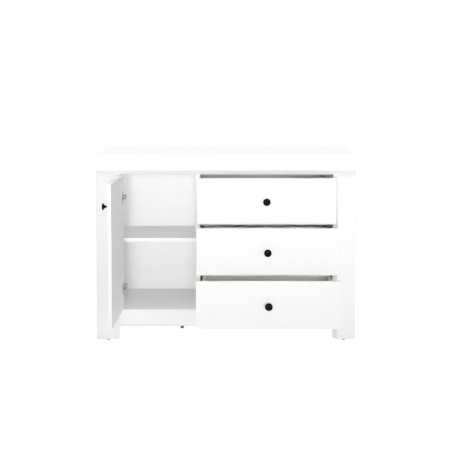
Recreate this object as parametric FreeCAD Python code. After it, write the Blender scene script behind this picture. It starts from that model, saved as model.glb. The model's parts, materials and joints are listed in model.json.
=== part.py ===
import FreeCAD, Part
import math
import os

# A free-standing sideboard: one hinged door on the left over a cupboard with a shelf, and three
# drawers of equal height on the right. Lengths are in millimetres and angles in degrees.
# While a piece is drawn, X runs to the right, Y runs back from the front plane of the legs, Z runs
# up from the floor, and the door and the drawers are shut. Each piece is then moved to the rest
# pose, with the door and the drawers standing open, and into the frame of the finished part.

# Overall size
WIDTH = 1145
DEPTH = 420
HEIGHT = 832
GLIDE_HEIGHT = 10

# Board thicknesses
BOARD = 16
THICK_BOARD = 22        # front faces of the legs and of the top
PARTITION_BOARD = 18
BACK_BOARD = 3          # back panels and drawer bottoms

# Top, a hollow box with a bevelled lower front edge
TOP_THICKNESS = 90
TOP_BEVEL = 20

# Legs: wide boards at both ends with a bevel along the inner and the upper edge
LEG_WIDTH = 100
LEG_BEVEL = 20
LEG_TOP_BEVEL = 18

# Carcass
PARTITION_X = -124
FLOOR_TOP = 142         # upper face of the bottom panel
APRON_BOTTOM = 66
APRON_BEVEL = 10
BACK_RECESS = 12        # from the back plane to the front face of the back panels
WALL_BACKSET = 24       # how far the left inner wall stands behind the leg's inner edge

# Shelf, and the joint between the two back panels
SHELF_TOP = 450
SHELF_FRONT = 65
SHELF_PLAY = 1
BACK_JOINT = 483
JOINT_STRIP_HEIGHT = 10
JOINT_STRIP_FLANGE = 1

# Door and drawer fronts
FRONT_SETBACK = 2
FRONT_GAP = 3
FRONT_ARRIS = 0.8
DRAWER_NAMES = ("bottom", "middle", "top")
REST_PULL = {"bottom": 330, "middle": 222, "top": 122}
DOOR_REST_ANGLE = 92

# Drawer boxes
SLIDE_SPACE = 13        # between a drawer side and the carcass
BOX_LENGTH = 350
BOX_LIFT = 15           # from the bottom edge of the front to the bottom edge of the sides
BOX_SIDE_HEIGHT = 130
BOX_FLOOR_LIFT = 10     # from the bottom edge of the sides to the drawer bottom
GROOVE_DEPTH = 6

# Telescopic slides: half heights, and how far each member stands off the carcass
SLIDE_LENGTH = 350
SLIDE_STEEL = 1.2
SLIDE_SETBACK = 2       # behind the back face of the fronts
SLIDE_LIFT = 65         # from the bottom edge of the sides to the middle of the slide
SLIDE_OUTER = {"half_height": 22.5, "web": 0, "reach": 9}
SLIDE_MIDDLE = {"half_height": 19, "web": 2.5, "reach": 11}
SLIDE_INNER = {"half_height": 15, "web": 11.8, "reach": 5}

# Knobs: radii and distances from the face they stand on
KNOB_NECK_R = 5
KNOB_WAIST_R = 5.5
KNOB_WAIST_OUT = 15
KNOB_RIM_R = 16.5
KNOB_RIM_OUT = 24.5
KNOB_RIM_THICKNESS = 1.2
KNOB_FACE_R = 6
KNOB_LENGTH = 30.5
CROWN_FULLNESS = 0.62   # how far out the rounded edge is half way in from the rim
DOOR_KNOB_INSET = 50    # from the free edge of the door
SCREW_R = 2
SCREW_GRIP = 14         # length of thread inside a knob
SCREW_HEAD_R = 4.5
SCREW_HEAD_HEIGHT = 2.4
SMALL_HEAD_R = 3.5
SMALL_HEAD_HEIGHT = 1.2

# Concealed door hinges
HINGE_HEIGHTS = (238, 639)
PIVOT_FROM_EDGE = 8.5
PIVOT_FROM_FACE = 8
PIN_R = 1.5
PIN_PLAY = 0.05
PIN_LENGTH = 22
EYE_R = 3.2
CUP_R = 17.5
CUP_DEPTH = 12.5
CUP_FROM_EDGE = 20.5
CUP_WALL = 1
CUP_FLOOR = 0.8
FLANGE_R = 19.5
FLANGE_LENGTH = 63
FLANGE_WIDTH = 18
FLANGE_THICKNESS = 1.2
CUP_SCREW_SPREAD = 24   # from the middle of the cup to each screw
CUP_SCREW_OFFSET = 6
CUP_SCREW_R = 1.75
CUP_SCREW_LENGTH = 12
ARM_STEEL = 2.2
ARM_REACH = 31.5        # from the hinge block to the outer face of the arm
ARM_START = 24
ARM_END = 62
ARM_HALF_HEIGHT = 8
NECK_HALF_HEIGHT = 5.5
PLATE_THICKNESS = 2
PLATE_START = 27
PLATE_END = 80
PLATE_HALF_HEIGHT = 10
BLOCK_HALF_HEIGHT = 35  # wooden block between the left wall and each hinge plate
BLOCK_END = 95
PLATE_SCREW_DEPTHS = (67, 75)
PLATE_SCREW_LENGTH = 12
ADJUSTER_DEPTHS = (34, 50)
ADJUSTER_R = 3.2
ADJUSTER_HEIGHT = 1

# Fasteners and small parts of the carcass
CONFIRMAT_R = 2.5
CONFIRMAT_LENGTH = 50
CONFIRMAT_HEAD_R = 5
CONFIRMAT_HEAD_HEIGHT = 3
CAM_R = 7.5
CAM_HEIGHT = 13
CAM_FROM_EDGE = 34
CAM_BOLT_R = 3
DOWEL_R = 4
DOWEL_IN_FACE = 11      # length of a dowel in the board whose face it enters
DOWEL_IN_EDGE = 19
FASTENER_DEPTHS = (70, 345)
DOWEL_DEPTHS = (115, 300)
APRON_DOWEL_X = (-380, 0, 380)
PEG_R = 2.5
PEG_COLLAR_R = 4
PEG_COLLAR = 0.8
PEG_REACH = 8
PEG_DEPTHS = (105, 365)
BACK_SCREW_R = 1.5
BACK_SCREW_LENGTH = 14
BACK_SCREW_HEAD_R = 3.5
BACK_SCREW_HEAD = 1.6
BACK_SCREW_ROWS = 4

# Feet
GLIDE_R = 8.5
GLIDE_FOOT_R = 7.5
GLIDE_X = 524
GLIDE_DEPTHS = (27, 393)
NAIL_R = 1.5
NAIL_LENGTH = 12
SUPPORT_X = 204
SUPPORT_DEPTH = 215
SUPPORT_R = 8.5
SUPPORT_FLANGE_R = 20
SUPPORT_FLANGE = 6
SUPPORT_CHAMFER = 1.5

# Derived positions
HALF = WIDTH / 2
OPENING = HALF - LEG_WIDTH                      # half the clear width between the legs
LEFT_WALL = -OPENING - WALL_BACKSET             # inner face of the wall on the door side
CEILING = HEIGHT - TOP_THICKNESS                # underside of the top
BACK_FACE = DEPTH - BACK_RECESS                 # front face of the back panels
FRONT_BACK = FRONT_SETBACK + BOARD              # back face of the shut door and drawer fronts
PARTITION_LEFT = PARTITION_X - PARTITION_BOARD / 2
PARTITION_RIGHT = PARTITION_X + PARTITION_BOARD / 2
FRONT_BOTTOM = FLOOR_TOP + FRONT_GAP
DOOR_HEIGHT = CEILING - FLOOR_TOP - 2 * FRONT_GAP
DRAWER_HEIGHT = (DOOR_HEIGHT - 2 * FRONT_GAP) / 3
DOOR_LEFT = -OPENING + FRONT_GAP
DOOR_RIGHT = PARTITION_X - FRONT_GAP / 2
DRAWER_LEFT = PARTITION_X + FRONT_GAP / 2
DRAWER_RIGHT = OPENING - FRONT_GAP
BOX_LEFT = PARTITION_RIGHT + SLIDE_SPACE
BOX_RIGHT = OPENING - SLIDE_SPACE
PIVOT_X = DOOR_LEFT + PIVOT_FROM_EDGE
PIVOT_Y = FRONT_SETBACK + PIVOT_FROM_FACE
CUP_X = DOOR_LEFT + CUP_FROM_EDGE
PARTITION_FRONT = FRONT_BACK + 2

# Origin of the finished part: the middle of its footprint at rest, on the floor
FOREMOST = FRONT_SETBACK - KNOB_LENGTH - max(REST_PULL.values())
ORIGIN_Y = (FOREMOST + DEPTH) / 2

ALONG = {"x": FreeCAD.Vector(1, 0, 0), "y": FreeCAD.Vector(0, 1, 0), "z": FreeCAD.Vector(0, 0, 1)}


def block(x, y, z):
    """A rectangular board, from the low and high limit along each axis."""
    corner = FreeCAD.Vector(x[0], y[0], z[0])
    return Part.makeBox(x[1] - x[0], y[1] - y[0], z[1] - z[0], corner)


def rod(radius, start, axis, length):
    """A cylinder from a point along an axis; a negative length runs the other way."""
    direction = ALONG[axis] * math.copysign(1, length)
    return Part.makeCylinder(radius, abs(length), FreeCAD.Vector(*start), direction)


def prism(outline, axis, low, high):
    """A closed outline, drawn in the plane across an axis, and drawn out between two limits."""
    places = {"x": lambda a, b: (low, a, b), "y": lambda a, b: (a, low, b), "z": lambda a, b: (a, b, low)}
    corners = [FreeCAD.Vector(*places[axis](*point)) for point in outline]
    face = Part.Face(Part.makePolygon(corners + corners[:1]))
    return face.extrude(ALONG[axis] * (high - low))


def mirrored(solid):
    return solid.mirror(FreeCAD.Vector(0, 0, 0), ALONG["x"])


def drilled(solid, tools):
    for tool in tools:
        solid = solid.cut(tool)
    return solid


def both_sides(solid):
    return [mirrored(solid), solid]


def headed_screw(start, axis, length, radius, head_radius, head_height):
    """A screw whose head lies on start and stands out against the direction of the shank."""
    shank = rod(radius, start, axis, length)
    head = rod(head_radius, start, axis, math.copysign(head_height, -length))
    return shank.fuse(head)


# ---- Top ----

def make_top():
    inner = HALF - BOARD
    under = HEIGHT - BOARD
    panel = block((-HALF, HALF), (0, DEPTH), (under, HEIGHT))
    front_mitre = prism([(0, HEIGHT), (0, under), (BOARD, under)], "x", -HALF, HALF)
    side_mitre = prism([(HALF, HEIGHT), (HALF, under), (inner, under)], "y", 0, DEPTH)
    panel = drilled(panel, [front_mitre] + both_sides(side_mitre))

    profile = [(0, HEIGHT), (0, CEILING + TOP_BEVEL), (TOP_BEVEL, CEILING), (THICK_BOARD, CEILING),
               (THICK_BOARD, under), (BOARD, under)]
    plan = [(-HALF, 0), (HALF, 0), (inner, BOARD), (inner, THICK_BOARD),
            (-inner, THICK_BOARD), (-inner, BOARD)]
    fascia = prism(profile, "x", -HALF, HALF).common(prism(plan, "z", CEILING, HEIGHT))

    strip_plan = [(HALF, 0), (HALF, DEPTH), (inner, DEPTH), (inner, BOARD)]
    strip_section = [(HALF, HEIGHT), (inner, under), (inner, CEILING), (HALF, CEILING)]
    strip = prism(strip_plan, "z", CEILING, HEIGHT).common(prism(strip_section, "y", 0, DEPTH))
    bevel = prism([(0, CEILING), (0, CEILING + TOP_BEVEL), (TOP_BEVEL, CEILING)], "x", inner, HALF)
    strip = strip.cut(bevel)

    rail_front = DEPTH - BOARD
    ceiling = block((-inner, inner), (THICK_BOARD, rail_front), (CEILING, CEILING + BOARD))
    rail = block((-inner, inner), (rail_front, DEPTH), (CEILING, under))
    return {"top_panel": [panel], "top_fascia": [fascia], "top_side_strips": both_sides(strip),
            "ceiling_panel": [ceiling], "top_back_rail": [rail]}


# ---- Legs and carcass ----

def make_legs():
    inner = HALF - BOARD
    plan = [(HALF, 0), (HALF, THICK_BOARD), (OPENING, THICK_BOARD), (OPENING, LEG_BEVEL),
            (OPENING + LEG_BEVEL, 0)]
    front = prism(plan, "z", GLIDE_HEIGHT, CEILING)
    groove = prism([(0, CEILING), (0, CEILING - LEG_TOP_BEVEL), (LEG_BEVEL, CEILING)], "x", OPENING, HALF)
    front = front.cut(groove)
    side = block((inner, HALF), (THICK_BOARD, DEPTH), (GLIDE_HEIGHT, CEILING))
    walls, backs, bases = [], [], []
    for face in (LEFT_WALL, OPENING):
        out = math.copysign(1, face)
        span = sorted((face, face + out * BOARD))
        leg = sorted((face + out * BOARD, out * inner))
        walls.append(block(span, (THICK_BOARD, BACK_FACE), (APRON_BOTTOM, CEILING)))
        backs.append(block(leg, (DEPTH - BOARD, DEPTH), (GLIDE_HEIGHT, CEILING)))
        bases.append(block(leg, (THICK_BOARD, DEPTH - BOARD), (GLIDE_HEIGHT, GLIDE_HEIGHT + BOARD)))
    return {"left_leg_front": [mirrored(front)], "right_leg_front": [front],
            "side_panels": both_sides(side),
            "left_inner_wall": walls[:1], "right_inner_wall": walls[1:],
            "leg_back_boards": backs, "leg_base_boards": bases}


def make_carcass():
    floor_bottom = FLOOR_TOP - BOARD
    partition = block((PARTITION_LEFT, PARTITION_RIGHT), (PARTITION_FRONT, BACK_FACE), (FLOOR_TOP, CEILING))
    bottom = block((-OPENING, OPENING), (FRONT_BACK, BACK_FACE), (floor_bottom, FLOOR_TOP))
    bottom = bottom.fuse(block((LEFT_WALL, -OPENING), (THICK_BOARD, BACK_FACE), (floor_bottom, FLOOR_TOP)))
    profile = [(FRONT_SETBACK, FLOOR_TOP), (FRONT_SETBACK, APRON_BOTTOM + APRON_BEVEL),
               (FRONT_SETBACK + APRON_BEVEL, APRON_BOTTOM),
               (FRONT_BACK, APRON_BOTTOM), (FRONT_BACK, FLOOR_TOP)]
    apron = prism(profile, "x", -OPENING, OPENING)
    return {"partition": [partition], "bottom_panel": [bottom], "apron": [apron]}


def make_back():
    reach = (LEFT_WALL - BOARD, OPENING + BOARD)
    floor_bottom = FLOOR_TOP - BOARD
    y = (BACK_FACE, BACK_FACE + BACK_BOARD)
    half_web = BACK_BOARD / 2
    upper = block(reach, y, (BACK_JOINT + half_web, CEILING))
    lower = block(reach, y, (floor_bottom, BACK_JOINT - half_web))

    half = JOINT_STRIP_HEIGHT / 2
    lip = JOINT_STRIP_FLANGE
    span = (LEFT_WALL, OPENING)
    strip = block(span, y, (BACK_JOINT - half_web, BACK_JOINT + half_web))
    for low in (BACK_FACE - lip, BACK_FACE + BACK_BOARD):
        strip = strip.fuse(block(span, (low, low + lip), (BACK_JOINT - half, BACK_JOINT + half)))
    partition_edge = block((PARTITION_LEFT, PARTITION_RIGHT), (0, BACK_FACE), (FLOOR_TOP, CEILING))
    return {"back_panel_upper": [upper], "back_panel_lower": [lower],
            "back_joint_strip": [strip.cut(partition_edge)]}


def make_back_screws():
    """Small screws that hold the back panels to the rear edges of the walls and the partition."""
    screws = []
    margin = JOINT_STRIP_HEIGHT * 2
    spans = ((FLOOR_TOP, BACK_JOINT - margin), (BACK_JOINT + margin, CEILING - margin))
    for x in (LEFT_WALL - BOARD / 2, PARTITION_X, OPENING + BOARD / 2):
        for low, high in spans:
            for row in range(BACK_SCREW_ROWS):
                z = low + (high - low) * row / (BACK_SCREW_ROWS - 1)
                start = (x, BACK_FACE + BACK_BOARD, z)
                screws.append(headed_screw(start, "y", -BACK_SCREW_LENGTH, BACK_SCREW_R,
                                           BACK_SCREW_HEAD_R, BACK_SCREW_HEAD))
    return screws


def make_shelf():
    left, right = LEFT_WALL, PARTITION_LEFT
    shelf = block((left + SHELF_PLAY, right - SHELF_PLAY), (SHELF_FRONT, BACK_FACE - 2 * SHELF_PLAY),
                  (SHELF_TOP - BOARD, SHELF_TOP))
    pegs = []
    for wall, inward in ((left, 1), (right, -1)):
        for depth in PEG_DEPTHS:
            z = SHELF_TOP - BOARD - PEG_R
            peg = rod(PEG_R, (wall - inward * PEG_REACH, depth, z), "x", inward * 2 * PEG_REACH)
            pegs.append(peg.fuse(rod(PEG_COLLAR_R, (wall, depth, z), "x", inward * PEG_COLLAR)))
    return {"shelf": [shelf], "shelf_pegs": pegs}


def make_joinery():
    """The screws, cams and dowels that hold the carcass boards together."""
    floor_bottom = FLOOR_TOP - BOARD
    mid_floor = FLOOR_TOP - BOARD / 2
    screws = []
    for y in FASTENER_DEPTHS:
        for x in (LEFT_WALL - BOARD / 2, PARTITION_X, OPENING + BOARD / 2):
            top = CEILING + BOARD
            shank = rod(CONFIRMAT_R, (x, y, top), "z", -CONFIRMAT_LENGTH)
            screws.append(shank.fuse(rod(CONFIRMAT_HEAD_R, (x, y, top), "z", -CONFIRMAT_HEAD_HEIGHT)))
        shank = rod(CONFIRMAT_R, (PARTITION_X, y, floor_bottom), "z", CONFIRMAT_LENGTH)
        head = rod(CONFIRMAT_HEAD_R, (PARTITION_X, y, floor_bottom), "z", CONFIRMAT_HEAD_HEIGHT)
        screws.append(shank.fuse(head))

    cams = []
    bolts = []
    dowels = []
    length = DOWEL_IN_EDGE + DOWEL_IN_FACE
    for wall, out in ((LEFT_WALL, -1), (OPENING, 1)):
        middle = wall - out * CAM_FROM_EDGE
        for y in FASTENER_DEPTHS:
            cam = rod(CAM_R, (middle, y, floor_bottom), "z", CAM_HEIGHT)
            bolt = rod(CAM_BOLT_R, (middle, y, mid_floor), "x", out * (CAM_FROM_EDGE + DOWEL_IN_FACE))
            cams.append(cam)
            bolts.append(bolt.cut(cam))
        for y in DOWEL_DEPTHS:
            dowels.append(rod(DOWEL_R, (wall - out * DOWEL_IN_EDGE, y, mid_floor), "x", out * length))
    for x in APRON_DOWEL_X:
        dowels.append(rod(DOWEL_R, (x, FRONT_BACK - DOWEL_IN_FACE, mid_floor), "y", length))
    return {"carcass_screws": screws + make_back_screws(), "cam_fittings": cams + bolts,
            "wood_dowels": dowels}


# ---- Feet ----

def make_feet():
    glides = []
    for y in GLIDE_DEPTHS:
        foot = Part.makeCone(GLIDE_FOOT_R, GLIDE_R, GLIDE_HEIGHT, FreeCAD.Vector(GLIDE_X, y, 0), ALONG["z"])
        glides += both_sides(foot.fuse(rod(NAIL_R, (GLIDE_X, y, GLIDE_HEIGHT), "z", NAIL_LENGTH)))

    under = FLOOR_TOP - BOARD
    base = FreeCAD.Vector(SUPPORT_X, SUPPORT_DEPTH, 0)
    toe = Part.makeCone(SUPPORT_R - SUPPORT_CHAMFER, SUPPORT_R, SUPPORT_CHAMFER, base, ALONG["z"])
    stem = rod(SUPPORT_R, (SUPPORT_X, SUPPORT_DEPTH, SUPPORT_CHAMFER), "z", under - SUPPORT_CHAMFER)
    flange = rod(SUPPORT_FLANGE_R, (SUPPORT_X, SUPPORT_DEPTH, under - SUPPORT_FLANGE), "z", SUPPORT_FLANGE)
    return {"leg_glides": glides, "support_feet": both_sides(toe.fuse(stem).fuse(flange))}


# ---- Door and its hinges ----

def make_hinge_arms():
    """The fixed side of each hinge: a plate on a block, and a cranked arm with an eye for the pin."""
    def around(z, half):
        return z - half, z + half

    wall = -OPENING
    arm_face = wall + ARM_REACH
    blocks, plates, arms, screws = [], [], [], []
    for z in HINGE_HEIGHTS:
        blocks.append(block((LEFT_WALL, wall), (THICK_BOARD, BLOCK_END), around(z, BLOCK_HALF_HEIGHT)))
        plates.append(block((wall, wall + PLATE_THICKNESS), (PLATE_START, PLATE_END),
                            around(z, PLATE_HALF_HEIGHT)))
        body = block((wall + PLATE_THICKNESS, arm_face), (ARM_START, ARM_END), around(z, ARM_HALF_HEIGHT))
        hollow = block((wall, arm_face - ARM_STEEL), (ARM_START + ARM_STEEL, DEPTH),
                       around(z, ARM_HALF_HEIGHT - ARM_STEEL))
        neck_z = around(z, NECK_HALF_HEIGHT)
        reach = block((PIVOT_X, arm_face), (PIVOT_Y - ARM_STEEL / 2, PIVOT_Y + ARM_STEEL / 2), neck_z)
        crank = block((arm_face - ARM_STEEL, arm_face), (PIVOT_Y - ARM_STEEL / 2, ARM_START), neck_z)
        low = (PIVOT_X, PIVOT_Y, z - NECK_HALF_HEIGHT)
        eye = rod(EYE_R, low, "z", 2 * NECK_HALF_HEIGHT)
        bore = rod(PIN_R + PIN_PLAY, low, "z", 2 * NECK_HALF_HEIGHT)
        arms.append(body.cut(hollow).fuse(reach).fuse(crank).fuse(eye).cut(bore))
        for y in PLATE_SCREW_DEPTHS:
            screws.append(headed_screw((wall + PLATE_THICKNESS, y, z), "x", -PLATE_SCREW_LENGTH, SCREW_R,
                                       SMALL_HEAD_R, SMALL_HEAD_HEIGHT))
        for y in ADJUSTER_DEPTHS:
            screws.append(rod(ADJUSTER_R, (arm_face, y, z), "x", ADJUSTER_HEIGHT))
    return {"hinge_blocks": blocks, "hinge_plates": plates, "hinge_arms": arms,
            "hinge_plate_screws": screws}


def make_hinge_cups():
    """The moving side of each hinge: a cup let into the door, its flange, its screws and its pin."""
    cups, pins, screws = [], [], []
    floor = FRONT_BACK - CUP_DEPTH
    screw_x = CUP_X + CUP_SCREW_OFFSET
    for z in HINGE_HEIGHTS:
        pin = rod(PIN_R, (PIVOT_X, PIVOT_Y, z - PIN_LENGTH / 2), "z", PIN_LENGTH)
        flange = rod(FLANGE_R, (CUP_X, FRONT_BACK, z), "y", FLANGE_THICKNESS)
        wings = block((screw_x - FLANGE_WIDTH / 2, screw_x + FLANGE_WIDTH / 2),
                      (FRONT_BACK, FRONT_BACK + FLANGE_THICKNESS),
                      (z - FLANGE_LENGTH / 2, z + FLANGE_LENGTH / 2))
        cup = rod(CUP_R, (CUP_X, floor, z), "y", CUP_DEPTH).fuse(flange).fuse(wings)
        cup = cup.cut(rod(CUP_R - CUP_WALL, (CUP_X, floor + CUP_FLOOR, z), "y", CUP_DEPTH + FLANGE_THICKNESS))
        pair = []
        for side in (-CUP_SCREW_SPREAD, CUP_SCREW_SPREAD):
            start = (screw_x, FRONT_BACK + FLANGE_THICKNESS, z + side)
            pair.append(headed_screw(start, "y", -CUP_SCREW_LENGTH, CUP_SCREW_R,
                                     SMALL_HEAD_R, SMALL_HEAD_HEIGHT))
        cups.append(drilled(cup, [pin] + pair))
        pins.append(pin)
        screws += pair
    return {"hinge_cups": cups, "hinge_pins": pins, "hinge_cup_screws": screws}


def front_board(x, z):
    """A door or drawer front, with its front edges slightly rounded."""
    solid = block(x, (FRONT_SETBACK, FRONT_BACK), z)
    edges = [edge for edge in solid.Edges if edge.BoundBox.YMax < FRONT_SETBACK + FRONT_ARRIS / 2]
    return solid.makeFillet(FRONT_ARRIS, edges)


def make_knob(x, z):
    """A mushroom knob, and the screw that holds it through a board from behind."""
    def place(radius, out):
        return FreeCAD.Vector(x + radius, FRONT_SETBACK - out, z)

    rim_end = KNOB_RIM_OUT + KNOB_RIM_THICKNESS
    crown_middle = ((KNOB_RIM_R + KNOB_FACE_R) / 2, rim_end + CROWN_FULLNESS * (KNOB_LENGTH - rim_end))
    foot, neck, waist = place(0, 0), place(KNOB_NECK_R, 0), place(KNOB_WAIST_R, KNOB_WAIST_OUT)
    rim, edge, crown = place(KNOB_RIM_R, KNOB_RIM_OUT), place(KNOB_RIM_R, rim_end), place(*crown_middle)
    face, middle = place(KNOB_FACE_R, KNOB_LENGTH), place(0, KNOB_LENGTH)
    edges = [Part.makeLine(foot, neck), Part.Arc(neck, waist, rim).toShape(), Part.makeLine(rim, edge),
             Part.Arc(edge, crown, face).toShape(), Part.makeLine(face, middle), Part.makeLine(middle, foot)]
    outline = Part.Wire(Part.sortEdges(edges)[0])
    body = Part.Face(outline).revolve(FreeCAD.Vector(x, 0, z), ALONG["y"], 360)
    screw = headed_screw((x, FRONT_BACK, z), "y", -(BOARD + SCREW_GRIP), SCREW_R,
                         SCREW_HEAD_R, SCREW_HEAD_HEIGHT)
    return body.cut(screw), screw


def make_door():
    x, z = (DOOR_LEFT, DOOR_RIGHT), (FRONT_BOTTOM, FRONT_BOTTOM + DOOR_HEIGHT)
    knob_z = FRONT_BOTTOM + 2 * (DRAWER_HEIGHT + FRONT_GAP) + DRAWER_HEIGHT / 2
    knob, knob_screw = make_knob(DOOR_RIGHT - DOOR_KNOB_INSET, knob_z)
    hardware = make_hinge_cups()
    recesses = [rod(CUP_R, (CUP_X, FRONT_BACK - CUP_DEPTH, height), "y", CUP_DEPTH)
                for height in HINGE_HEIGHTS]
    panel = drilled(front_board(x, z), recesses + hardware["hinge_cup_screws"] + [knob_screw])
    hardware.update({"door_panel": [panel], "door_knob": [knob], "door_knob_screw": [knob_screw]})
    return hardware


# ---- Drawers and their slides ----

def slide_pair(member, z):
    """The channels of one slide member, on the partition and on the right wall."""
    y = (FRONT_BACK + SLIDE_SETBACK, FRONT_BACK + SLIDE_SETBACK + SLIDE_LENGTH)
    half = member["half_height"]
    pair = []
    for wall, inward in ((PARTITION_RIGHT, 1), (OPENING, -1)):
        near = wall + inward * member["web"]
        channel = block(sorted((near, near + inward * SLIDE_STEEL)), y, (z - half, z + half))
        flange = sorted((near, wall + inward * member["reach"]))
        for low in (z - half, z + half - SLIDE_STEEL):
            channel = channel.fuse(block(flange, y, (low, low + SLIDE_STEEL)))
        pair.append(channel)
    return pair


def drawer_bottom_edge(index):
    return FRONT_BOTTOM + index * (DRAWER_HEIGHT + FRONT_GAP)


def slide_height(index):
    return drawer_bottom_edge(index) + BOX_LIFT + SLIDE_LIFT


def make_drawer(index):
    edge = drawer_bottom_edge(index)
    low = edge + BOX_LIFT
    high = low + BOX_SIDE_HEIGHT
    back_end = FRONT_BACK + BOX_LENGTH
    floor_z = (low + BOX_FLOOR_LIFT, low + BOX_FLOOR_LIFT + BACK_BOARD)
    knob, knob_screw = make_knob((DRAWER_LEFT + DRAWER_RIGHT) / 2, edge + DRAWER_HEIGHT / 2)

    inner = (BOX_LEFT + BOARD, BOX_RIGHT - BOARD)
    floor = block((inner[0] - GROOVE_DEPTH, inner[1] + GROOVE_DEPTH),
                  (FRONT_BACK - GROOVE_DEPTH, back_end), floor_z)
    front = front_board((DRAWER_LEFT, DRAWER_RIGHT), (edge, edge + DRAWER_HEIGHT))
    front = drilled(front, [knob_screw, floor])
    sides = [block(x, (FRONT_BACK, back_end), (low, high)).cut(floor)
             for x in ((BOX_LEFT, inner[0]), (inner[1], BOX_RIGHT))]
    back = block(inner, (back_end - BOARD, back_end), (floor_z[1], high))
    pieces = {"front": [front], "sides": sides, "back": [back], "floor": [floor], "knob": [knob],
              "knob_screw": [knob_screw], "rails": slide_pair(SLIDE_INNER, slide_height(index))}
    return {"drawer_" + DRAWER_NAMES[index] + "_" + piece: solids for piece, solids in pieces.items()}


# ---- Rest pose and export ----

def shifted(solids, pull=0):
    for solid in solids:
        solid.translate(FreeCAD.Vector(0, -pull - ORIGIN_Y, 0))
    return solids


def swung_open(solids):
    for solid in solids:
        solid.rotate(FreeCAD.Vector(PIVOT_X, PIVOT_Y, 0), ALONG["z"], -DOOR_REST_ANGLE)
    return solids


def export(nodes):
    for node, solids in nodes.items():
        solids = [solid.removeSplitter() for solid in solids]
        shape = solids[0] if len(solids) == 1 else Part.makeCompound(solids)
        shape.exportStep("parts/" + node + ".step")


def build():
    joinery = make_joinery()
    feet = make_feet()
    arms = make_hinge_arms()
    shelf = make_shelf()
    cabinet = {}
    for group in (make_top(), make_legs(), make_carcass(), make_back()):
        cabinet.update(group)

    fixings = [solid for group in joinery.values() for solid in group]
    wall_fixings = fixings + shelf["shelf_pegs"] + arms["hinge_plate_screws"]
    for node in ("ceiling_panel", "bottom_panel", "apron", "back_panel_upper", "back_panel_lower"):
        cabinet[node] = [drilled(solid, fixings) for solid in cabinet[node]]
    for node in ("left_inner_wall", "right_inner_wall", "partition"):
        cabinet[node] = [drilled(solid, wall_fixings) for solid in cabinet[node]]
    cabinet["leg_base_boards"] = [drilled(solid, feet["leg_glides"]) for solid in cabinet["leg_base_boards"]]
    for node in ("hinge_blocks", "hinge_plates"):
        arms[node] = [drilled(solid, arms["hinge_plate_screws"]) for solid in arms[node]]

    for group in (joinery, feet, arms, shelf):
        cabinet.update(group)
    cabinet["cabinet_slide_rails"] = [rail for index in range(len(DRAWER_NAMES))
                                      for rail in slide_pair(SLIDE_OUTER, slide_height(index))]
    export({node: shifted(solids) for node, solids in cabinet.items()})
    export({node: shifted(swung_open(solids)) for node, solids in make_door().items()})

    for index, name in enumerate(DRAWER_NAMES):
        pull = REST_PULL[name]
        export({node: shifted(solids, pull) for node, solids in make_drawer(index).items()})
        middle = slide_pair(SLIDE_MIDDLE, slide_height(index))
        export({"slide_middle_rails_" + name: shifted(middle, pull / 2)})


os.makedirs("parts", exist_ok=True)
build()
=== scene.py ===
import json
import math
import bmesh
import bpy
from mathutils import Matrix, Vector


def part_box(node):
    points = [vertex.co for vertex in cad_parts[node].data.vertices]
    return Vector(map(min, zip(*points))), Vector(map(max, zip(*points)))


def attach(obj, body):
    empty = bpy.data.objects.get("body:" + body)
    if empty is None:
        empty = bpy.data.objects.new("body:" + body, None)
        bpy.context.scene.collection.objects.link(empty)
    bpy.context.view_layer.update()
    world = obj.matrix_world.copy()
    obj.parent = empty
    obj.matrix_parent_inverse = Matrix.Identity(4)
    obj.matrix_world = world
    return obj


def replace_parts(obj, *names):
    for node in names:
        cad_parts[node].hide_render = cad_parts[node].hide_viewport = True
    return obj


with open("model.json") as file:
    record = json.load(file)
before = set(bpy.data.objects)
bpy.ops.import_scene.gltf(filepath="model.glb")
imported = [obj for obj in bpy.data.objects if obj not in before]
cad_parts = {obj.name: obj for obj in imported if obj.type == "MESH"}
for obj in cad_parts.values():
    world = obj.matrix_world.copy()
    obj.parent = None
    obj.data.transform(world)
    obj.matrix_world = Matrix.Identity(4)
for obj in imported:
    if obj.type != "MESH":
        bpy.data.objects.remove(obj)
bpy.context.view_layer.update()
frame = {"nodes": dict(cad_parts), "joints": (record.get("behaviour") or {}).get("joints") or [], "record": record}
cad = frame["nodes"]
record = frame["record"]
print("frame loaded:", len(cad), "CAD nodes")

mm = 0.001
right, back, up = Vector((1, 0, 0)), Vector((0, 1, 0)), Vector((0, 0, 1))


# Places that the rest is worked out from

doorJoint = next(j for j in frame["joints"] if j["name"] == "door_hinge")
doorPivot = Vector(doorJoint["pos_m"])
doorAngle = math.radians(-doorJoint["range_deg"][0])    # how far the door stands open at rest
doorOpened = (Matrix.Translation(doorPivot) @ Matrix.Rotation(-doorAngle, 4, "Z")
              @ Matrix.Translation(-doorPivot))         # shut place to rest place
stillPlace = Matrix.Identity(4)
bodyOf = {node: body for body, nodes in record["behaviour"]["bodies"].items() for node in nodes}
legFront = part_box("left_leg_front")[0].y
drawers = ("top", "middle", "bottom")


def placeOf(node):
    return doorOpened if bodyOf[node] == "door" else stillPlace


def extent(points):
    return [Vector([pick(p[i] for p in points) for i in range(3)]) for pick in (min, max)]


def shutBox(node):
    # lowest and highest corner of a node while the door is shut
    undo = placeOf(node).inverted()
    return extent([undo @ v.co for v in cad[node].data.vertices])


# Materials. Colours are sRGB; "relief" is the strength of a bump that is reliefMm deep.

def linear(hexColour):
    values = [int(hexColour[i:i + 2], 16) / 255 for i in (0, 2, 4)]
    return [v / 12.92 if v <= 0.04045 else ((v + 0.055) / 1.055) ** 2.4 for v in values] + [1]


def perMetre(millimetres):
    return 1000 / millimetres


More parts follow.
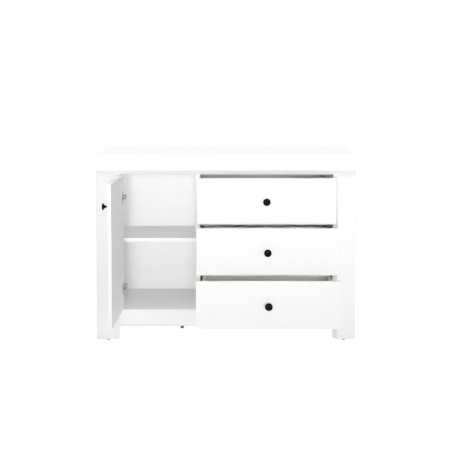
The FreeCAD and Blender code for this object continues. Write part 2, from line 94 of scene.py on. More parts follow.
def addNode(tree, kind, values={}, links={}):
    made = tree.nodes.new(kind)
    for key, value in values.items():
        if isinstance(key, int) or key in made.inputs:
            made.inputs[key].default_value = value
        else:
            setattr(made, key, value)
    for key, (source, output) in links.items():
        tree.links.new(source.outputs[output], made.inputs[key])
    return made


def newMaterial(name):
    material = bpy.data.materials.new(name)
    material.use_nodes = True
    tree = material.node_tree
    tree.nodes.clear()
    return material, tree, {"Vector": (addNode(tree, "ShaderNodeTexCoord"), "Object")}


def finishMaterial(material, s, pattern, relief=None, sheen=None, surface={}, fed={}):
    # two close colours laid out by a pattern, over a shallow relief, with an even or uneven gloss
    tree = material.node_tree
    colour = addNode(tree, "ShaderNodeMix",
                     {"data_type": "RGBA", 6: linear(s["colour"]), 7: linear(s["shade"])}, {0: pattern})
    values, links = dict(surface), {"Base Color": (colour, 2), **fed}
    if relief:
        bump = addNode(tree, "ShaderNodeBump", {"Distance": s["reliefMm"] * mm, "Strength": s["relief"]},
                       {"Height": relief})
        links["Normal"] = (bump, "Normal")
    if sheen:
        roughness = addNode(tree, "ShaderNodeMapRange",
                            {"To Min": s["roughness"], "To Max": s["roughness"] + s["uneven"]},
                            {"Value": sheen})
        links["Roughness"] = (roughness, "Result")
    else:
        values["Roughness"] = s["roughness"]
    shader = addNode(tree, "ShaderNodeBsdfPrincipled", values, links)
    addNode(tree, "ShaderNodeOutputMaterial", {}, {"Surface": (shader, "BSDF")})
    return material


lacquer = {"colour": "F7F7F6", "shade": "F3F3F2", "mottleMm": 220, "roughness": 0.10, "uneven": 0.05,
           "hazeMm": 90, "peelMm": 9, "reliefMm": 0.004, "relief": 1.0, "ior": 1.5, "coat": 0.4,
           "coatRoughness": 0.03}


def makeLacqueredMdf():
    # MDF sprayed with polyurethane lacquer and buffed: mirror gloss, a breath of orange peel
    s = lacquer
    material, tree, place = newMaterial("lacqueredMdf")
    mottle = addNode(tree, "ShaderNodeTexNoise", {"Scale": perMetre(s["mottleMm"]), "Detail": 3.0}, place)
    haze = addNode(tree, "ShaderNodeTexNoise", {"Scale": perMetre(s["hazeMm"]), "Detail": 4.0}, place)
    peel = addNode(tree, "ShaderNodeTexNoise", {"Scale": perMetre(s["peelMm"]), "Detail": 1.0}, place)
    return finishMaterial(material, s, (mottle, "Fac"), (peel, "Fac"), (haze, "Fac"),
                          {"IOR": s["ior"], "Coat Weight": s["coat"], "Coat Roughness": s["coatRoughness"]})


melamine = {"colour": "F6F6F5", "shade": "F1F1F0", "mottleMm": 120, "roughness": 0.38, "pearlMm": 1.6,
            "reliefMm": 0.02, "relief": 0.6, "ior": 1.5}
# the lining is the melamine made darker: painted shade for the door's inner face, which stands in the shadow of
# the drawers
liningWithPaintedShade = {**melamine, "colour": "DFDFDE", "shade": "D8D8D7", "roughness": 0.5}
drawerPaper = {**melamine, "colour": "F0ECE6", "shade": "E9E5DF"}


def makeMelamine(name, s):
    # chipboard or MDF faced with resin-soaked paper pressed under a pearl plate: satin, never quite smooth
    material, tree, place = newMaterial(name)
    mottle = addNode(tree, "ShaderNodeTexNoise", {"Scale": perMetre(s["mottleMm"]), "Detail": 5.0}, place)
    pearl = addNode(tree, "ShaderNodeTexVoronoi",
                    {"Scale": perMetre(s["pearlMm"]), "feature": "SMOOTH_F1"}, place)
    return finishMaterial(material, s, (mottle, "Fac"), (pearl, "Distance"), surface={"IOR": s["ior"]})


rawBoard = {"colour": "CFB58C", "shade": "8E6E48", "chipMm": 3.2, "dustMm": 0.9, "darkFrom": 0.05,
            "darkTo": 0.55, "roughness": 0.85, "reliefMm": 0.25, "relief": 0.8, "ior": 1.45}


def makeRawChipboard():
    # a sawn edge with no edging: pressed wood chips and glue, rough and unevenly brown
    s = rawBoard
    material, tree, place = newMaterial("rawChipboard")
    chips = addNode(tree, "ShaderNodeTexVoronoi", {"Scale": perMetre(s["chipMm"])}, place)
    dust = addNode(tree, "ShaderNodeTexNoise", {"Scale": perMetre(s["dustMm"]), "Detail": 4.0}, place)
    blend = addNode(tree, "ShaderNodeMath", {"operation": "MULTIPLY"},
                    {0: (chips, "Color"), 1: (dust, "Fac")})
    dark = addNode(tree, "ShaderNodeMapRange", {"From Min": s["darkFrom"], "From Max": s["darkTo"]},
                   {"Value": (blend, "Value")})
    return finishMaterial(material, s, (dark, "Result"), (blend, "Value"), surface={"IOR": s["ior"]})


hardboard = {"colour": "BC9A70", "shade": "96744E", "fibreMm": 2.4, "stretch": (0.35, 1, 1),
             "roughness": 0.7, "reliefMm": 0.06, "relief": 0.7, "ior": 1.45}


def makeBrownHardboard():
    # the bare rear face of high-density fibreboard: felted brown fibres, dull
    s = hardboard
    material, tree, place = newMaterial("brownHardboard")
    drawn = addNode(tree, "ShaderNodeMapping", {"Scale": s["stretch"]}, place)
    fibre = addNode(tree, "ShaderNodeTexNoise",
                    {"Scale": perMetre(s["fibreMm"]), "Detail": 6.0, "Roughness": 0.65},
                    {"Vector": (drawn, "Vector")})
    return finishMaterial(material, s, (fibre, "Fac"), (fibre, "Fac"), surface={"IOR": s["ior"]})


whiteFoil = {"colour": "F4F4F3", "shade": "EEEEED", "mottleMm": 60, "roughness": 0.42, "waveMm": 35,
             "reliefMm": 0.03, "relief": 0.5, "ior": 1.5}


def makeWhiteFoil():
    # printed paper foil on thin fibreboard: flat white, a little wavy because the board is thin
    s = whiteFoil
    material, tree, place = newMaterial("foiledHardboard")
    mottle = addNode(tree, "ShaderNodeTexNoise", {"Scale": perMetre(s["mottleMm"]), "Detail": 4.0}, place)
    wave = addNode(tree, "ShaderNodeTexNoise", {"Scale": perMetre(s["waveMm"]), "Detail": 2.0}, place)
    return finishMaterial(material, s, (mottle, "Fac"), (wave, "Fac"), surface={"IOR": s["ior"]})


edging = {"colour": "F5F5F3", "shade": "EFEFEC", "streakMm": 5, "stretch": (0.05, 1, 1), "roughness": 0.3,
          "reliefMm": 0.01, "relief": 0.6, "ior": 1.53}


def makeAbsEdging():
    # thin ABS tape glued to a board's edge and scraped flush: faint scraper lines along it
    s = edging
    material, tree, place = newMaterial("absEdging")
    drawn = addNode(tree, "ShaderNodeMapping", {"Scale": s["stretch"]}, place)
    streak = addNode(tree, "ShaderNodeTexNoise", {"Scale": perMetre(s["streakMm"]), "Detail": 3.0},
                     {"Vector": (drawn, "Vector")})
    return finishMaterial(material, s, (streak, "Fac"), (streak, "Fac"), surface={"IOR": s["ior"]})


knobCoat = {"colour": "0C0C0D", "shade": "070708", "speckMm": 1.4, "roughness": 0.56, "uneven": 0.10,
            "reliefMm": 0.02, "relief": 0.5, "ior": 1.45, "specular": 0.12}


def makeEnamelledDieCast():
    # zinc die-cast knob under black baked enamel: deep black, soft wide highlight
    s = knobCoat
    material, tree, place = newMaterial("enamelledZincDieCast")
    speck = addNode(tree, "ShaderNodeTexNoise", {"Scale": perMetre(s["speckMm"]), "Detail": 2.0}, place)
    return finishMaterial(material, s, (speck, "Fac"), (speck, "Fac"), (speck, "Fac"),
                          {"IOR": s["ior"], "Specular IOR Level": s["specular"]})


mouldedBlack = {"colour": "1B1B1C", "shade": "131313", "grainMm": 0.9, "roughness": 0.48, "reliefMm": 0.03,
                "relief": 0.8, "ior": 1.49}


def makeBlackPolypropylene():
    # injection-moulded polypropylene with a spark-eroded grain: dull black
    s = mouldedBlack
    material, tree, place = newMaterial("blackPolypropylene")
    grain = addNode(tree, "ShaderNodeTexNoise", {"Scale": perMetre(s["grainMm"]), "Detail": 3.0}, place)
    return finishMaterial(material, s, (grain, "Fac"), (grain, "Fac"), surface={"IOR": s["ior"]})


steels = {
    "nickelPlatedSteel": {"colour": "9A9A98", "shade": "7E7E7C", "cloudMm": 9, "stretch": (1, 1, 1),
                          "roughness": 0.38, "uneven": 0.12},    # pressed and barrel-plated: warm, cloudy
    "zincPlatedRail": {"colour": "B4B8BC", "shade": "979CA1", "cloudMm": 3, "stretch": (1, 0.04, 1),
                       "roughness": 0.30, "uneven": 0.16},       # rolled strip: streaks run along the rail
    "zincPlatedScrew": {"colour": "C9CACB", "shade": "A3A5A8", "cloudMm": 2, "stretch": (1, 1, 1),
                        "roughness": 0.24, "uneven": 0.14},      # bright zinc: bluish, a little patchy
}


def makeSteel(name):
    s = steels[name]
    material, tree, place = newMaterial(name)
    drawn = addNode(tree, "ShaderNodeMapping", {"Scale": s["stretch"]}, place)
    cloud = addNode(tree, "ShaderNodeTexNoise",
                    {"Scale": perMetre(s["cloudMm"]), "Detail": 5.0, "Roughness": 0.6},
                    {"Vector": (drawn, "Vector")})
    return finishMaterial(material, s, (cloud, "Fac"), sheen=(cloud, "Fac"), surface={"Metallic": 1.0})


beech = {"colour": "D9B98C", "shade": "B98D5C", "fleckMm": 1.2, "roughness": 0.7, "ior": 1.45}


def makeBeech():
    # turned beech, unfinished: pale pinkish brown with short darker flecks
    s = beech
    material, tree, place = newMaterial("rawBeech")
    fleck = addNode(tree, "ShaderNodeTexNoise", {"Scale": perMetre(s["fleckMm"]), "Detail": 4.0}, place)
    return finishMaterial(material, s, (fleck, "Fac"), surface={"IOR": s["ior"]})


finishes = {"lacquer": makeLacqueredMdf(), "melamine": makeMelamine("melamineChipboard", melamine),
            # the lining finish carries painted shade: a darker copy of the melamine
            "lining": makeMelamine("melamineBackedMdfPaintedShade", liningWithPaintedShade),
            "paper": makeMelamine("paperWrappedChipboard", drawerPaper), "raw": makeRawChipboard(),
            "hardboard": makeBrownHardboard(), "foil": makeWhiteFoil(), "edging": makeAbsEdging(),
            "knob": makeEnamelledDieCast(), "plastic": makeBlackPolypropylene(), "beech": makeBeech()}
finishes.update({name: makeSteel(name) for name in steels})
print("materials made:", len(finishes))


# Boards: each one is taken from its CAD node, so it is exactly as large, then its arrises are softened

boards = {"arrisMm": 0.9, "segments": 3, "shortestMm": 12, "cornerDegrees": 25, "sharpDegrees": 38,
          "mergeMm": 0.01, "flatDegrees": 0.5, "facing": 0.9, "sideMm": 1.5}
sides = {"front": -back, "back": back, "top": up, "under": -up}


def cleanMesh(node):
    work = bmesh.new()
    work.from_mesh(cad[node].data)
    bmesh.ops.remove_doubles(work, verts=work.verts, dist=boards["mergeMm"] * mm)
    joinFlat(work)
    return work


def joinFlat(work):
    # makes one face of neighbours that lie in one plane
    bmesh.ops.dissolve_limit(work, angle_limit=math.radians(boards["flatDegrees"]), verts=work.verts,
                             edges=work.edges)


def breakEdges(work, widthMm, segments=2, degrees=30, shortestMm=0):
    edges = [e for e in work.edges if len(e.link_faces) == 2 and e.calc_length() > shortestMm * mm
             and e.calc_face_angle() > math.radians(degrees)]
    bmesh.ops.bevel(work, geom=edges, offset=widthMm * mm, offset_type="OFFSET", segments=segments,
                    profile=0.5, affect="EDGES", clamp_overlap=True)


def soften(work, arrisMm):
    breakEdges(work, arrisMm, boards["segments"], boards["cornerDegrees"], boards["shortestMm"])


def shadeSmooth(work):
    for face in work.faces:
        face.smooth = True
    for edge in work.edges:
        edge.smooth = not (len(edge.link_faces) == 2
                           and edge.calc_face_angle() > math.radians(boards["sharpDegrees"]))


def makePiece(name, work, node, finishNames):
    # turns a bmesh in the rest frame into a named piece on the node's body
    shadeSmooth(work)
    mesh = bpy.data.meshes.new(name)
    work.to_mesh(mesh)
    work.free()
    piece = bpy.data.objects.new(name, mesh)
    bpy.context.scene.collection.objects.link(piece)
    for finish in finishNames:
        mesh.materials.append(finishes[finish])
    weighted = piece.modifiers.new("evenShading", "WEIGHTED_NORMAL")
    weighted.keep_sharp = True
    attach(piece, bodyOf[node])
    return piece


def paintSides(work, node, looks, finishNames):
    # gives whole flat sides of a board another finish: {"back": "raw"} is its rear edge
    low, high = shutBox(node)
    undo = placeOf(node).inverted()
    turn = undo.to_3x3()
    for face in work.faces:
        normal = turn @ face.normal
        centre = undo @ face.calc_center_median()
        for side, look in looks.items():
            way = sides[side]
            limit = max(way.dot(low), way.dot(high))
            if normal.dot(way) > boards["facing"] and abs(way.dot(centre) - limit) < boards["sideMm"] * mm:
                face.material_index = finishNames.index(look)


def makeBoard(node, main, looks, arrisMm):
    work = cleanMesh(node)
    soften(work, arrisMm)
    finishNames = [main] + sorted(set(looks.values()) - {main})
    paintSides(work, node, looks, finishNames)
    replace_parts(makePiece(node + "_board", work, node, finishNames), node)


# The top: panel, fascia and end strips are folded from one veneered board, so its arrises are whole

topShell = {"nodes": ["top_panel", "top_fascia", "top_side_strips"], "arrisMm": 1.1, "mergeMm": 0.02}


def makeTopShell():
    work = bmesh.new()
    for node in topShell["nodes"]:
        part = cleanMesh(node)
        mesh = bpy.data.meshes.new("part")
        part.to_mesh(mesh)
        part.free()
        work.from_mesh(mesh)
        bpy.data.meshes.remove(mesh)
    bmesh.ops.remove_doubles(work, verts=work.verts, dist=topShell["mergeMm"] * mm)
    mitres = [face for face in work.faces if all(len(edge.link_faces) > 2 for edge in face.edges)]
    bmesh.ops.delete(work, geom=mitres, context="FACES")
    joinFlat(work)
    bmesh.ops.recalc_face_normals(work, faces=work.faces)
    soften(work, topShell["arrisMm"])
    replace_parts(makePiece("top_shell", work, "top_panel", ["lacquer"]), *topShell["nodes"])
    print("top shell:", len(mitres), "inner mitre faces removed")


makeTopShell()

boardLooks = {
    "ceiling_panel": ("melamine", {"back": "raw"}),
    "top_back_rail": ("melamine", {"top": "raw", "under": "raw"}),
    "left_leg_front": ("lacquer", {"under": "raw"}),
    "right_leg_front": ("lacquer", {"under": "raw"}),
    "side_panels": ("lacquer", {"under": "raw", "back": "edging"}),
    "left_inner_wall": ("melamine", {"under": "raw", "back": "raw", "front": "edging"}),
    "right_inner_wall": ("melamine", {"under": "raw", "back": "raw", "front": "edging"}),
    "leg_back_boards": ("melamine", {"under": "raw"}),
    "leg_base_boards": ("melamine", {}),
    "hinge_blocks": ("melamine", {"top": "raw", "under": "raw"}),
    "partition": ("melamine", {"back": "raw", "front": "edging"}),
    "bottom_panel": ("melamine", {"back": "raw"}),
    "apron": ("lacquer", {}),
    "shelf": ("melamine", {"front": "edging", "back": "raw"}),
    "door_panel": ("lacquer", {"back": "lining"}),
}
thinLooks = {
    "back_panel_upper": ("foil", {"back": "hardboard"}),
    "back_panel_lower": ("foil", {"back": "hardboard"}),
    "back_joint_strip": ("edging", {}),
}
thinArrisMm = 0.2
for name in drawers:
    boardLooks["drawer_" + name + "_front"] = ("lacquer", {"back": "lining"})
    boardLooks["drawer_" + name + "_sides"] = ("paper", {"back": "raw", "under": "raw"})
    boardLooks["drawer_" + name + "_back"] = ("paper", {"under": "raw"})
    thinLooks["drawer_" + name + "_floor"] = ("foil", {"under": "hardboard"})
for node, (main, looks) in boardLooks.items():
    makeBoard(node, main, looks, boards["arrisMm"])
for node, (main, looks) in thinLooks.items():
    makeBoard(node, main, looks, thinArrisMm)
print("boards softened:", len(boardLooks) + len(thinLooks))


# Helpers for turned, pressed and cut pieces. Outlines are in millimetres in a local frame.

# An outline's x goes along X and its y along Z in the first, and along Y and Z in the second.
drawnAlongY = Matrix(((1, 0, 0, 0), (0, 0, 1, 0), (0, 1, 0, 0), (0, 0, 0, 1)))
drawnAlongX = Matrix(((0, 0, 1, 0), (1, 0, 0, 0), (0, 1, 0, 0), (0, 0, 0, 1)))


def axesAt(origin, x, y, z):
    turn = Matrix((x, y, z)).transposed().to_4x4()
    return Matrix.Translation(origin) @ turn @ Matrix.Scale(mm, 4)


def arcThrough(a, b, c, steps):
    # points from a to c on the circle through a, b and c
    ax, ay, bx, by, cx, cy = *a, *b, *c
    d = 2 * (ax * (by - cy) + bx * (cy - ay) + cx * (ay - by))
    sa, sb, sc = ax * ax + ay * ay, bx * bx + by * by, cx * cx + cy * cy
    middle = Vector(((sa * (by - cy) + sb * (cy - ay) + sc * (ay - by)) / d,
                     (sa * (cx - bx) + sb * (ax - cx) + sc * (bx - ax)) / d))
    start = Vector(a) - middle
    turn = math.remainder(2 * (angleOf(Vector(b) - middle) - angleOf(start)), 2 * math.pi)
    full = math.remainder(angleOf(Vector(c) - middle) - angleOf(start), 2 * math.pi)
    if full * turn < 0 and abs(turn) > 1e-9:
        full += math.copysign(2 * math.pi, turn)
    return [middle + Matrix.Rotation(full * i / steps, 2) @ start for i in range(steps + 1)]


def angleOf(vector):
    return math.atan2(vector.y, vector.x)


def around(steps):
    return [2 * math.pi * k / steps for k in range(steps)]


def rounded(corners, radii, steps=5, closed=True):
    # an outline with its corners rounded off
    outline = []
    last = len(corners) - 1
    for i, (corner, radius) in enumerate(zip(corners, radii)):
        corner = Vector(corner)
        if radius == 0 or (not closed and i in (0, last)):
            outline.append(corner)
            continue
        before = (Vector(corners[i - 1]) - corner).normalized()
        after = (Vector(corners[(i + 1) % len(corners)]) - corner).normalized()
        half = before.angle(after) / 2
        middle = corner + (before + after).normalized() * radius / math.sin(half)
        start = corner + before * radius / math.tan(half) - middle
        end = corner + after * radius / math.tan(half) - middle
        turn = math.remainder(angleOf(end) - angleOf(start), 2 * math.pi)
        outline += [middle + Matrix.Rotation(turn * k / steps, 2) @ start for k in range(steps + 1)]
    return outline


def roundedOblong(x, y, radius):
    # x and y are the lowest and highest of each
    return rounded([(x[0], y[0]), (x[1], y[0]), (x[1], y[1]), (x[0], y[1])], [radius] * 4)


def thicken(path, thickness):
    # the closed outline of a bent sheet whose middle line is path
    edges = ([], [])
    for i, point in enumerate(path):
        before = (point - path[i - 1]).normalized() if i > 0 else None
        after = (path[i + 1] - point).normalized() if i < len(path) - 1 else None
        along = ((before or after) + (after or before)).normalized()
        stretch = along.dot(before or after)
        normal = Vector((-along.y, along.x)) * thickness / 2 / stretch
        edges[0].append(point + normal)
        edges[1].append(point - normal)
    return edges[0] + edges[1][::-1]


def addLoop(work, place, points):
    return [work.verts.new(place @ Vector(point)) for point in points]


def bridge(work, first, second):
    # quads between two loops of points; a loop may be a single tip
    count = max(len(first), len(second))
    for i in range(count):
        j = (i + 1) % count
        quad = [first[i % len(first)], first[j % len(first)],
                second[j % len(second)], second[i % len(second)]]
        work.faces.new(list(dict.fromkeys(quad)))


def turnOnLathe(work, place, outline, steps):
    # outline: (radius, height) pairs; a radius of zero closes the end
    loops = []
    for radius, height in outline:
        angles = around(steps) if radius > 0 else [0]
        points = [(radius * math.cos(t), radius * math.sin(t), height) for t in angles]
        loops.append(addLoop(work, place, points))
    for first, second in zip(loops, loops[1:]):
        bridge(work, first, second)
    return loops


def drawOut(work, place, outline, low, high):
    # a closed outline in the local XY plane, drawn out along Z between two heights
    loops = [addLoop(work, place, [(p[0], p[1], height) for p in outline]) for height in (low, high)]
    bridge(work, *loops)
    for loop in loops:
        work.faces.new(loop)


def cutOut(work, tools):
    # takes the tools away from a mesh
    made = []
    for part in (work, tools):
        bmesh.ops.recalc_face_normals(part, faces=part.faces)
        mesh = bpy.data.meshes.new("cutting")
        part.to_mesh(mesh)
        part.free()
        made.append(bpy.data.objects.new("cutting", mesh))
        bpy.context.scene.collection.objects.link(made[-1])
    cut = made[0].modifiers.new("cut", "BOOLEAN")
    cut.operation = "DIFFERENCE"
    cut.solver = "EXACT"
    cut.object = made[1]
    evaluated = made[0].evaluated_get(bpy.context.evaluated_depsgraph_get())
    result = bmesh.new()
    result.from_mesh(evaluated.to_mesh())
    evaluated.to_mesh_clear()
    for thing in made:
        mesh = thing.data
        bpy.data.objects.remove(thing)
        bpy.data.meshes.remove(mesh)
    return result


def copyInto(work, source, place):
    # adds a moved copy of another mesh
    known = {}
    for face in source.faces:
        for v in face.verts:
            if v not in known:
                known[v] = work.verts.new(place @ v.co)
        work.faces.new([known[v] for v in face.verts])


def finishPiece(name, work, node, *finishNames):
    bmesh.ops.recalc_face_normals(work, faces=work.faces)
    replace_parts(makePiece(name, work, node, finishNames), node)


def islands(node):
    # the lowest and highest corners of a node's separate solids while the door is shut
    undo = placeOf(node).inverted()
    work = cleanMesh(node)
    left = set(work.verts)
    boxes = []
    while left:
        reached, todo = set(), [left.pop()]
        while todo:
            v = todo.pop()
            reached.add(v)
            near = {e.other_vert(v) for e in v.link_edges} & left
            left -= near
            todo += near
        boxes.append(extent([undo @ v.co for v in reached]))
    work.free()
    return sorted(boxes, key=lambda box: tuple(round(c, 4) for c in box[0]))


def makeEach(node, name, makeOne, *finishNames):
    # makes one thing in the place of each separate solid of a node
    work = bmesh.new()
    for low, high in islands(node):
        makeOne(work, low, high)
    finishPiece(name, work, node, *finishNames)


# Screws

# shares of the head's radius and height
screws = {"armLength": 0.56, "armWidth": 0.15, "flat": 0.66, "edge": 0.3, "crown": 0.86, "depth": 0.75,
          "taper": 0.72, "tip": 0.6, "crownSteps": 4, "steps": 28}


def makeScrewHead(work, place, radius, height, shankRadius=0, length=0):
    # a low domed head with a cross recess, and its shank below
    s = screws
    rimTop = height * s["edge"]
    outline = [(0, 0)]
    if length:
        outline = [(0, -length), (shankRadius * s["tip"], -length), (shankRadius, shankRadius - length),
                   (shankRadius, 0)]
    outline += [(radius, 0), (radius, rimTop)]
    outline += arcThrough((radius, rimTop), (radius * (1 + s["flat"]) / 2, height * s["crown"]),
                          (radius * s["flat"], height), s["crownSteps"])[1:]
    rim = turnOnLathe(work, place, outline, s["steps"])[-1]
    long, wide = radius * s["armLength"], radius * s["armWidth"]
    quarter = [(wide, wide), (wide, long), (-wide, long)]
    cross = [Matrix.Rotation(math.pi / 2 * k, 2) @ Vector(p) for k in range(4) for p in quarter]
    mouth = addLoop(work, place, [(p.x, p.y, height) for p in cross])
    bottom = height * (1 - s["depth"])
    base = addLoop(work, place, [(p.x * s["taper"], p.y * s["taper"], bottom) for p in cross])
    edges = [work.edges.get((rim[i - 1], rim[i])) for i in range(len(rim))]
    edges += [work.edges.new((mouth[i - 1], mouth[i])) for i in range(len(mouth))]
    bmesh.ops.triangle_fill(work, edges=edges, use_beauty=True)
    bridge(work, mouth, base)
    work.faces.new(base)


# Knobs: turned in one go, a waisted stem under a wide flat cap

knobs = {"neckR": 5, "neckFillet": 0.4, "waistR": 5.5, "waistOut": 15, "rimOut": 24.5, "rimThickness": 1.2,
         "rimRound": 0.5, "rimMiddle": 0.15, "rimLand": 0.2, "faceR": 6, "faceDip": 0.12, "faceIn": 0.9,
         "faceMiddle": 0.5, "crownFullness": 0.62, "stemSteps": 18, "rimSteps": 3, "crownSteps": 10,
         "steps": 64}
knobScrew = {"headHeight": 2.4, "shankR": 2}


def makeKnob(node):
    s = knobs
    low, high = shutBox(node)
    middle = (low + high) / 2
    radius, length = (high.x - low.x) / 2 / mm, (high.y - low.y) / mm
    place = placeOf(node) @ axesAt(Vector((middle.x, high.y, middle.z)), right, up, -back)
    neck = (s["neckR"], s["neckFillet"])
    rimIn, rimEnd = radius - s["rimRound"], s["rimOut"] + s["rimThickness"]
    crown = ((radius + s["faceR"]) / 2, rimEnd + s["crownFullness"] * (length - rimEnd))
    outline = [(0, 0), (s["neckR"] + s["neckFillet"], 0), neck]
    outline += arcThrough(neck, (s["waistR"], s["waistOut"]), (rimIn, s["rimOut"]), s["stemSteps"])[1:]
    outline += arcThrough((rimIn, s["rimOut"]), (radius - s["rimMiddle"], s["rimOut"] + s["rimMiddle"]),
                          (radius, s["rimOut"] + s["rimRound"]), s["rimSteps"])[1:]
    outline += [(radius, rimEnd - s["rimLand"])]
    outline += arcThrough((radius, rimEnd), crown, (s["faceR"], length - s["faceDip"]), s["crownSteps"])
    outline += [(s["faceR"] - s["faceIn"], length), (s["faceR"] * s["faceMiddle"], length), (0, length)]
    work = bmesh.new()
    turnOnLathe(work, place, outline, s["steps"])
    finishPiece(node + "_turned", work, node, "knob")


def makeKnobScrew(node):
    s = knobScrew
    low, high = shutBox(node)
    middle = (low + high) / 2
    centre = Vector((middle.x, high.y - s["headHeight"] * mm, middle.z))
    work = bmesh.new()
    makeScrewHead(work, placeOf(node) @ axesAt(centre, right, up, back), (high.x - low.x) / 2 / mm,
                  s["headHeight"], s["shankR"], (high.y - low.y) / mm - s["headHeight"])
    finishPiece(node + "_machined", work, node, "zincPlatedScrew")


for owner in ["door"] + ["drawer_" + name for name in drawers]:
    makeKnob(owner + "_knob")
    makeKnobScrew(owner + "_knob_screw")
print("knobs turned")


# Hinges: cup and flange pressed from one sheet, a cranked arm over a wing plate

hingeCup = {"cupR": 17.5, "wall": 1, "depth": 12.5, "floor": 0.8, "floorRound": 2.5, "floorSteps": 5,
            "bottomEase": 0.6, "clearance": 0.1, "fromEdge": 20.5, "flangeR": 19.5, "wingHalf": 31.5,
            "wingR": 9, "wingOffset": 6, "blend": 24, "thickness": 1.2, "underEase": 0.1, "sideUp": 0.55,
            "lip": 0.45, "lipMiddle": 0.4, "lipUp": 0.9, "mouth": 0.7, "mouthMiddle": 0.2, "mouthUp": 0.85,
            "mouthEnd": 0.4, "bossR": 6, "bossSlope": 1, "bossHeight": 1.2, "bossUp": 0.7, "steps": 120,
            "tries": 40}
hingeHeights = sorted({round((low.z + high.z) / 2, 5) for low, high in islands("hinge_plates")})


def flangeReach(angle):
    # distance from the middle of the cup to the flange's rim: a disc and a capsule, blended smoothly
    s = hingeCup
    way = Vector((math.cos(angle), math.sin(angle)))
    near, far = 0.0, 2.0 * s["wingHalf"]
    straight = s["wingHalf"] - s["wingR"]
    for step in range(s["tries"]):
        reach = (near + far) / 2
        point = way * reach
        axis = Vector((s["wingOffset"], min(max(point.y, -straight), straight)))
        near, far = (reach, far) if (point - axis).length < s["wingR"] else (near, reach)
    return (near ** s["blend"] + s["flangeR"] ** s["blend"]) ** (1 / s["blend"])


def ring(radii, out):
    # one radius for each direction
    return [(r * math.cos(t), r * math.sin(t), out) for r, t in zip(radii, around(len(radii)))]


def makeHingeCups():
    s = hingeCup
    inner, outer = s["cupR"] - s["wall"], s["cupR"] - s["clearance"]
    floor, corner, top = s["floor"] - s["depth"], s["floorRound"], s["thickness"]
    bend = corner * (1 - math.sqrt(0.5))
    under = [(outer - s["bottomEase"], -s["depth"]), (outer, s["bottomEase"] - s["depth"]), (outer, 0)]
    # how far inside the flange's rim, and how far out of the door
    flange = [(s["underEase"], 0), (0, top * s["sideUp"]), (s["lip"] * s["lipMiddle"], top * s["lipUp"]),
              (s["lip"], top)]
    bowl = [(inner + s["mouth"], top), (inner + s["mouthMiddle"], top * s["mouthUp"]),
            (inner, top * s["mouthEnd"])]
    bowl += arcThrough((inner, floor + corner), (inner - bend, floor + bend), (inner - corner, floor),
                       s["floorSteps"])
    bowl += [(s["bossR"] + s["bossSlope"], floor), (s["bossR"], floor + s["bossHeight"] * s["bossUp"]),
             (s["bossR"] - s["bossSlope"], floor + s["bossHeight"])]
    rim = [flangeReach(angle) for angle in around(s["steps"])]
    rings = [ring([radius] * s["steps"], out) for radius, out in under]
    rings += [ring([reach - inside for reach in rim], out) for inside, out in flange]
    rings += [ring([radius] * s["steps"], out) for radius, out in bowl]
    doorLow, doorHigh = shutBox("door_panel")
    work = bmesh.new()
    for height in hingeHeights:
        centre = Vector((doorLow.x + s["fromEdge"] * mm, doorHigh.y, height))
        place = doorOpened @ axesAt(centre, right, up, back)
        loops = [addLoop(work, place, points) for points in rings]
        for first, second in zip(loops, loops[1:]):
            bridge(work, first, second)
        work.faces.new(loops[0])
        work.faces.new(loops[-1])
    finishPiece("hinge_cups_pressed", work, "hinge_cups", "nickelPlatedSteel")


hingeScrews = {"headHeight": 1.2, "cupShankR": 1.75, "plateShankR": 2, "shortest": 2}


def cupScrew(work, low, high):
    s = hingeScrews
    middle = (low + high) / 2
    centre = Vector((middle.x, high.y - s["headHeight"] * mm, middle.z))
    makeScrewHead(work, doorOpened @ axesAt(centre, right, up, back), (high.x - low.x) / 2 / mm,
                  s["headHeight"], s["cupShankR"], (high.y - low.y) / mm - s["headHeight"])


def plateScrew(work, low, high):
    # adjusters are short discs, the others run into the wall
    s = hingeScrews
    middle = (low + high) / 2
    length, radius = (high.x - low.x) / mm, (high.z - low.z) / 2 / mm
    short = length < s["shortest"]
    height = length if short else s["headHeight"]
    place = axesAt(Vector((high.x - height * mm, middle.y, middle.z)), back, up, right)
    if short:
        makeScrewHead(work, place, radius, height)
    else:
        makeScrewHead(work, place, radius, height, s["plateShankR"], length - height)


hingeArm = {"steel": 2.2, "bend": 3.2, "plateTop": 2.05, "bodyStart": 24, "bodyEnd": 62, "halfHeight": 8,
            "edge": 0.35, "neckHalf": 5.5, "neckBend": 2.4, "neckEdge": 0.245, "lap": 1, "eyeR": 3.2,
            "eyeJoin": 0.6, "eyeEase": 0.3, "eyeSteps": 32, "boreR": 1.55, "windowHalfWide": 2.1,
            "windowHalfTall": 1.85, "windowRound": 0.7, "windowAt": (10.0, 15.4), "windowUp": 2.6,
            "punch": 3, "slotHalfWide": 4.5, "slotHalfTall": 2.5, "slotRound": 2.4, "slotFromEnd": 6,
            "shadePadFrom": 5.5, "shadePadHalf": 5.2, "shadePadDeep": 9, "shadePadGap": 0.15, "shadePadRound": 1,
            "shadePadPlay": 0.2}


def makeArmBody(place, face):
    # the part over the plate: a channel with a slot for the fixing screw
    s = hingeArm
    skin, half = face - s["steel"] / 2, s["halfHeight"] - s["steel"] / 2
    path = rounded([(s["plateTop"], -half), (skin, -half), (skin, half), (s["plateTop"], half)],
                   (0, s["bend"], s["bend"], 0), closed=False)
    channel, tools = bmesh.new(), bmesh.new()
    drawOut(channel, place @ drawnAlongY, thicken(path, s["steel"]), s["bodyStart"], s["bodyEnd"])
    along = s["bodyEnd"] - s["slotFromEnd"]
    slot = roundedOblong((along - s["slotHalfWide"], along + s["slotHalfWide"]),
                         (-s["slotHalfTall"], s["slotHalfTall"]), s["slotRound"])
    drawOut(tools, place @ drawnAlongX, slot, face - s["steel"] - s["lap"], face + s["lap"])
    channel = cutOut(channel, tools)
    breakEdges(channel, s["edge"])
    return channel


